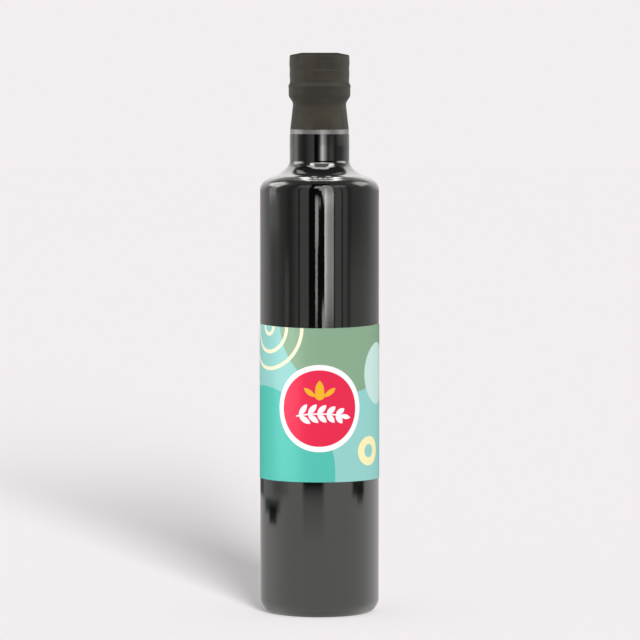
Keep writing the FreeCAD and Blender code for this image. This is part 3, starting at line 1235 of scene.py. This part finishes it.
NECK_FIELDS = (
    ("under_box", -20, 55, 1, 14, 0.04, 3, 3),
    ("ceiling", 72, 288, 47, 100, 0.2, 3, 3),
    ("slope_shade", 168, 190, 36, 60, 0.2, 2, 4),
    ("left_bulb", 180.5, 183.5, 43.5, 47, 3, 1, 1),
    ("right_bulb", 172.5, 175, 43.5, 47, 3, 1, 1),
    ("left_glimmer", 203, 228, 50, 61, 2.7, 8, 5),
    ("right_glimmer", 145, 163, 48, 57, 1.2, 8, 6),
    ("left_lamp", -116, -72, 6, 25, 9, 24, 8),
    ("right_lamp", 74, 116, 3, 16, 8, 24, 8),
    ("box_inside", -28, 46, 30, 72, 2.0, 3, 3),
    ("box_left_low", -42, -24, 31, 50, 22, 5, 6),
    ("box_left_high", -64, -28, 48, 76, 9.5, 5, 8),
    ("box_right_low", 40, 64, 31, 50, 20, 5, 6),
    ("box_right_high", 46, 62, 48, 76, 17, 5, 8),
    ("box_right_side", 62, 82, 50, 76, 8, 6, 8),
    ("box_front", -38, 56, 21, 28.5, 14, 3, 3),
    ("box_back", -78, 96, 73, 88, 9, 5, 3),
)
CAPSULE_FIELDS = (
    ("upper_screen", -110, 110, 22, 70, 2.0, 30, 14),
    ("back_shade", 122, 238, 10, 90, 0.1, 20, 8),
)
LABEL_FIELDS = (("sheen_screen", -92, -40, -40, 60, 7.5, 14, 20),)

# How bright the bounce card on the floor is around the body: azimuth in degrees and brightness
CARD_WALL = (
    (-180, 0.72), (-158, 0.78), (-150, 0.92), (-143, 1.02), (-137, 1.13), (-123, 1.43), (-105, 1.95),
    (-90, 2.1), (105, 2.1), (123, 1.84), (137, 1.5), (143, 1.4), (150, 1.08), (158, 0.88), (180, 0.8),
)

# How it darkens under the heel: radius in metres and share of its brightness
HEEL_SHADE = ((0.0255, 0.12), (0.0265, 0.22), (0.0275, 0.40), (0.029, 0.62), (0.031, 0.88), (0.033, 1.0))

# The dark shape of the camera's stand in that card: its azimuths and the width of its edges in degrees, and
# at each radius in metres how dark it is
STAND_START, STAND_END, STAND_EDGE = -37, 11, 8
STAND_DEPTH = (
    (0.38, 0.0), (0.45, 0.12), (0.565, 0.24), (0.643, 0.38), (0.69, 0.57), (0.72, 0.75), (0.75, 0.97),
    (0.84, 0.97), (1.0, 0.0),
)

# Other dark shapes in it: from one azimuth to another, from one radius to another, how dark, and the widths
# of their edges, in degrees and metres
CARD_SHADES = (
    ("right_shape", 66, 95, 0.655, 0.9, 0.9, 8, 0.05),
    ("right_tip", 77, 93, 0.605, 0.70, 0.7, 8, 0.05),
    ("left_tip", -116, -93, 0.47, 0.58, 0.9, 9, 0.04),
    ("left_shape", -132, -85, 0.53, 0.62, 0.75, 14, 0.05),
    ("left_neck", -146, -78, 0.60, 0.9, 0.3, 18, 0.07),
    ("left_edge", -170, -140, 0.63, 0.9, 0.75, 14, 0.05),
    ("left_haze", -104, -64, 0.66, 0.9, 0.32, 16, 0.06),
)

# Radii of that card's rings, closer together where its brightness changes faster
CARD_RADII = (
    0.0255, 0.026, 0.0265, 0.027, 0.0275, 0.0285, 0.0295, 0.031, 0.033, 0.036, 0.04, 0.045, 0.05, 0.06,
    0.08, 0.1, 0.14, 0.2, 0.3, *(0.36 + 0.02 * i for i in range(21)), 0.8, 0.84, 0.88, 0.93, 1.0, 1.2, 1.47,
)
CARD_STEP = 3  # degrees between the points of a ring
CARD_HEIGHT = 0.0004  # above the floor, in metres

# The plain card that the neck and the capsule mirror lies just above that one and is as large
NECK_CARD_GLOW = 0.5
NECK_CARD_HEIGHT = 0.0008

# Domes of the same radius and steps would hide one another, so the capsule's is a little smaller
DOME_RADIUS, CAPSULE_DOME_RADIUS = 1.5, 1.46

# The black cloth stands around all of it: its radius, foot and top
CLOTH_RADIUS, CLOTH_FOOT, CLOTH_TOP = 2.2, -0.1, 2.4


def along(value, stops):
    """What a table of stops gives at that value, evenly between two stops."""
    for (start, first), (end, last) in zip(stops, stops[1:]):
        if value <= end:
            return first + (last - first) * max(0, value - start) / (end - start)
    return stops[-1][1]


def smooth(part):
    """0 below 0, 1 above 1 and a soft step between them."""
    part = min(1, max(0, part))
    return part * part * (3 - 2 * part)


def ring_faces(rings, count):
    """Faces between rings of count points each, which follow one another."""
    faces = []
    for row in range(rings - 1):
        here, there = row * count, (row + 1) * count
        for i in range(count):
            after = (i + 1) % count
            faces.append((here + i, here + after, there + after, there + i))
    return faces


def level_ring(radius, height, step=10):
    """Points of a level circle about the bottle's axis, a step in degrees apart."""
    return [direction(azimuth) * radius + UP * height for azimuth in range(0, 360, step)]


class Dome:
    """A dome of light around the bottle, as the gloss of some of its pieces shows it."""

    MIDDLE = 0.23  # height of its centre
    TURN = 1.0  # how far all of them are turned to the right
    FLOOR = -8.8  # elevation of the floor
    BACK_START, BACK_WIDTH = 112, 26  # azimuth from which the screens behind the bottle take over
    BACK_FOOT, BACK_RISE = -1.5, 2.5  # elevation from which they do
    STRIP = (7, 28)  # azimuths of the strip light
    # Rings below the horizon, closer together where thin streaks end: first elevation, step and how many
    LOW_RINGS = ((FLOOR, 0.4, 14), (-3.2, 0.05, 32), (-1.6, 0.4, 4))

    def __init__(self, wall, strip_rise, back_rise, fields):
        self.wall, self.strip_rise, self.back_rise, self.fields = wall, strip_rise, back_rise, fields

    def glow(self, azimuth, elevation):
        """Brightness in that direction, where a white paper would give 1."""
        glow = along(azimuth, self.wall)
        if self.STRIP[0] < azimuth < self.STRIP[1]:
            glow *= along(elevation, self.strip_rise)
        back = smooth((abs(azimuth) - self.BACK_START) / self.BACK_WIDTH)
        back *= smooth((elevation - self.BACK_FOOT) / self.BACK_RISE)
        glow += (along(elevation, self.back_rise) - glow) * back
        for _, left, right, low, high, shine, side_fade, end_fade in self.fields:
            above = abs(elevation - (low + high) / 2) - (high - low) / 2
            if above > end_fade / 2:
                continue
            aside = abs((azimuth - (left + right) / 2 + 180) % 360 - 180) - (right - left) / 2
            if aside > side_fade / 2:
                continue
            glow += (shine - glow) * smooth(0.5 - aside / side_fade) * smooth(0.5 - above / end_fade)
        return glow

    def build(self, name, finish, receivers, radius, azimuth_step, elevation_step):
        """Makes its mesh, closed at the top. Steps are in degrees, the second above the horizon."""
        count = round(360 / azimuth_step)
        azimuths = [i * azimuth_step - 180 for i in range(count)]
        rings = [start + i * step for start, step, many in self.LOW_RINGS for i in range(many)]
        rings += [i * elevation_step for i in range(round(90 / elevation_step))]
        points, shine = [], []
        for elevation in rings:
            for azimuth in azimuths:
                points.append(direction(azimuth + self.TURN, elevation) * radius + UP * self.MIDDLE)
                shine.append(self.glow(azimuth, elevation))
        faces = ring_faces(len(rings), count) + [range((len(rings) - 1) * count, len(rings) * count)]
        card = stage_mesh(name, points, faces, finish, shine)
        only_in_reflections(card, receivers)


def mirrored(azimuth, radius):
    """Azimuth in which the body's wall shows the camera that point of the floor.

    Found by halving: the wall's normal lies midway between the ways to the camera and to the point.
    """
    point = direction(abs(azimuth)) * radius
    low, high = abs(azimuth) / 2, abs(azimuth)
    for _ in range(20):
        turn = (low + high) / 2
        aim = point - direction(turn) * BOTTLE_BOX[1].x
        if math.degrees(math.atan2(aim.x, -aim.y)) % 360 > 2 * turn:
            low = turn
        else:
            high = turn
    return math.copysign(min(2 * turn, 180), azimuth)


def card_glow(azimuth, radius):
    """Brightness of the bounce card on the floor, with the dark shapes in it."""
    side = mirrored(azimuth, radius)
    stand = smooth((side - STAND_START) / STAND_EDGE) * smooth((STAND_END - side) / STAND_EDGE)
    stand *= along(radius, STAND_DEPTH)
    glow = along(side, CARD_WALL) * along(radius, HEEL_SHADE) * (1 - stand)
    for _, left, right, near, far, depth, side_fade, end_fade in CARD_SHADES:
        aside = abs(side - (left + right) / 2) - (right - left) / 2
        beyond = abs(radius - (near + far) / 2) - (far - near) / 2
        glow *= 1 - depth * smooth(0.5 - aside / side_fade) * smooth(0.5 - beyond / end_fade)
    return glow


def make_domes(finish):
    """The domes, two cards on the floor and a black cloth behind them all."""
    body = collection_of("Body glass", BODY_PIECES)
    neck = collection_of("Neck glass and band", NECK_PIECES)
    capsule = collection_of("Capsule", CAPSULE_PIECES)
    label = collection_of("Label", LABEL_PIECES)
    for pieces in (body, neck, capsule, label):
        for piece in pieces.objects:
            piece.visible_glossy = False
    body_dome = Dome(BODY_WALL, STRIP_RISE, BODY_BACK_RISE, BODY_FIELDS)
    neck_dome = Dome(NECK_WALL, EVEN_RISE, NECK_BACK_RISE, NECK_FIELDS)
    capsule_dome = Dome(CAPSULE_WALL, EVEN_RISE, EVEN_RISE, CAPSULE_FIELDS)
    label_dome = Dome(LABEL_WALL, EVEN_RISE, LABEL_BACK_RISE, LABEL_FIELDS)
    body_dome.build("body_dome", finish, body, DOME_RADIUS, azimuth_step=0.5, elevation_step=1)
    neck_dome.build("neck_dome", finish, neck, DOME_RADIUS, azimuth_step=1, elevation_step=1)
    capsule_dome.build(
        "capsule_dome", finish, capsule, CAPSULE_DOME_RADIUS, azimuth_step=3, elevation_step=3
    )
    label_dome.build("label_dome", finish, label, DOME_RADIUS, azimuth_step=3, elevation_step=3)

    points, shine = [], []
    for radius in CARD_RADII:
        for azimuth in range(-180, 180, CARD_STEP):
            points.append(direction(azimuth + Dome.TURN) * radius + UP * CARD_HEIGHT)
            shine.append(card_glow(azimuth, radius))
    faces = ring_faces(len(CARD_RADII), 360 // CARD_STEP)
    only_in_reflections(stage_mesh("bounce_card", points, faces, finish, shine), body)

    neck_and_capsule = collection_of("Neck and capsule", ["bottle_neck_glass"] + CAPSULE_PIECES)
    corners = level_ring(CARD_RADII[-1], NECK_CARD_HEIGHT)
    shine = [NECK_CARD_GLOW] * len(corners)
    card = stage_mesh("neck_card", corners, [range(len(corners))], finish, shine)
    only_in_reflections(card, neck_and_capsule)

    foot, top = level_ring(CLOTH_RADIUS, CLOTH_FOOT), level_ring(CLOTH_RADIUS, CLOTH_TOP)
    count = len(foot)
    faces = ring_faces(2, count) + [range(count), range(count, 2 * count)]
    only_in_reflections(stage_mesh("black_cloth", foot + top, faces, black_cloth()))


LAMP_STEP = 60  # degrees between the lamps of a circle, and how wide each is
WALL_LAMPS = 1.8  # a whole circle lights an upright wall about as much as this many lamps would


def make_stage():
    studio = settings().studio
    make_camera(studio)
    make_backdrop(studio)
    reach = 9.0
    corners = [(-reach, -reach, 0), (reach, -reach, 0), (reach, reach, 0), (-reach, reach, 0)]
    stage_mesh("floor", corners, [(0, 1, 2, 3)], pale_floor(studio)).visible_glossy = False
    floor = collection_of("Floor alone", ["floor"])
    bottle = collection_of("All but the capsule", BODY_PIECES + NECK_PIECES + LABEL_PIECES)
    film = collection_of("Capsule alone", CAPSULE_PIECES)
    key = direction(math.degrees(studio.key_side), math.degrees(studio.key_height))
    # The sky, the even light and this lamp together light the open floor with 1
    strength = (1 - studio.sky - studio.even) * math.pi / math.sin(studio.key_height)
    add_sun("key", key, strength, studio.key_spread, floor)
    add_sun("even", UP, studio.even * math.pi, 0, floor, shadow=False)
    height = math.degrees(studio.fill_height)
    circles = (
        ("fill", height, studio.fill, bottle),
        ("film_upper", height, studio.film_upper, film),
        ("film_lower", -height, studio.film_lower, film),
    )
    for azimuth in range(0, 360, LAMP_STEP):
        for name, rise, light, pieces in circles:
            strength = light * math.pi / WALL_LAMPS
            toward = direction(azimuth, rise)
            above = rise > 0  # the floor would block a lamp below the horizon, if that cast shadows
            add_sun(f"{name}_{azimuth}", toward, strength, math.radians(LAMP_STEP), pieces, shadow=above)
    make_domes(glowing())
    bpy.context.scene.view_settings.view_transform = "Standard"


# Operators and panel

class MakeGlass(Operator):
    """Makes the dark glass bottle"""

    bl_idname = "oil_bottle.make_glass"
    bl_label = "Make Glass"

    def execute(self, context):
        make_glass()
        return {"FINISHED"}


class MakeBand(Operator):
    """Makes the metal band on the neck"""

    bl_idname = "oil_bottle.make_band"
    bl_label = "Make Neck Band"

    def execute(self, context):
        make_band()
        return {"FINISHED"}


class MakeCapsule(Operator):
    """Makes the shrunk-on capsule and its pin marks"""

    bl_idname = "oil_bottle.make_capsule"
    bl_label = "Make Capsule"

    def execute(self, context):
        make_capsule()
        return {"FINISHED"}


class MakeLabel(Operator):
    """Makes the printed paper wrap"""

    bl_idname = "oil_bottle.make_label"
    bl_label = "Make Label"

    def execute(self, context):
        make_label()
        return {"FINISHED"}


class MakeStage(Operator):
    """Makes the camera, the floor, the backdrop, the lamps and the cards that the glass mirrors"""

    bl_idname = "oil_bottle.make_stage"
    bl_label = "Make Stage"

    def execute(self, context):
        make_stage()
        return {"FINISHED"}


MAKERS = (MakeGlass, MakeBand, MakeCapsule, MakeLabel, MakeStage)


class BottlePanel(Panel):
    """Sizes and colours of the bottle, and what makes it"""

    bl_idname = "VIEW3D_PT_oil_bottle"
    bl_label = "Oil Bottle"
    bl_space_type = "VIEW_3D"
    bl_region_type = "UI"
    bl_category = "Oil Bottle"

    def draw(self, context):
        for group_name in ("glass", "capsule", "label", "studio"):
            group = getattr(settings(), group_name)
            box = self.layout.box()
            box.label(text=group_name.capitalize())
            for setting in group.__annotations__:
                box.prop(group, setting)
        for maker in MAKERS:
            self.layout.operator(maker.bl_idname)


SETTINGS = (GlassSettings, CapsuleSettings, LabelSettings, StudioSettings, BottleSettings)
CLASSES = (*SETTINGS, *MAKERS, BottlePanel)


def settings():
    return bpy.context.scene.oil_bottle


def register():
    for cls in CLASSES:
        bpy.utils.register_class(cls)
    bpy.types.Scene.oil_bottle = PointerProperty(type=BottleSettings)


def unregister():
    del bpy.types.Scene.oil_bottle
    for cls in reversed(CLASSES):
        bpy.utils.unregister_class(cls)


def main():
    register()
    bpy.ops.oil_bottle.make_glass()
    bpy.ops.oil_bottle.make_band()
    bpy.ops.oil_bottle.make_capsule()
    bpy.ops.oil_bottle.make_label()
    bpy.ops.oil_bottle.make_stage()


if __name__ == "__main__":
    main()
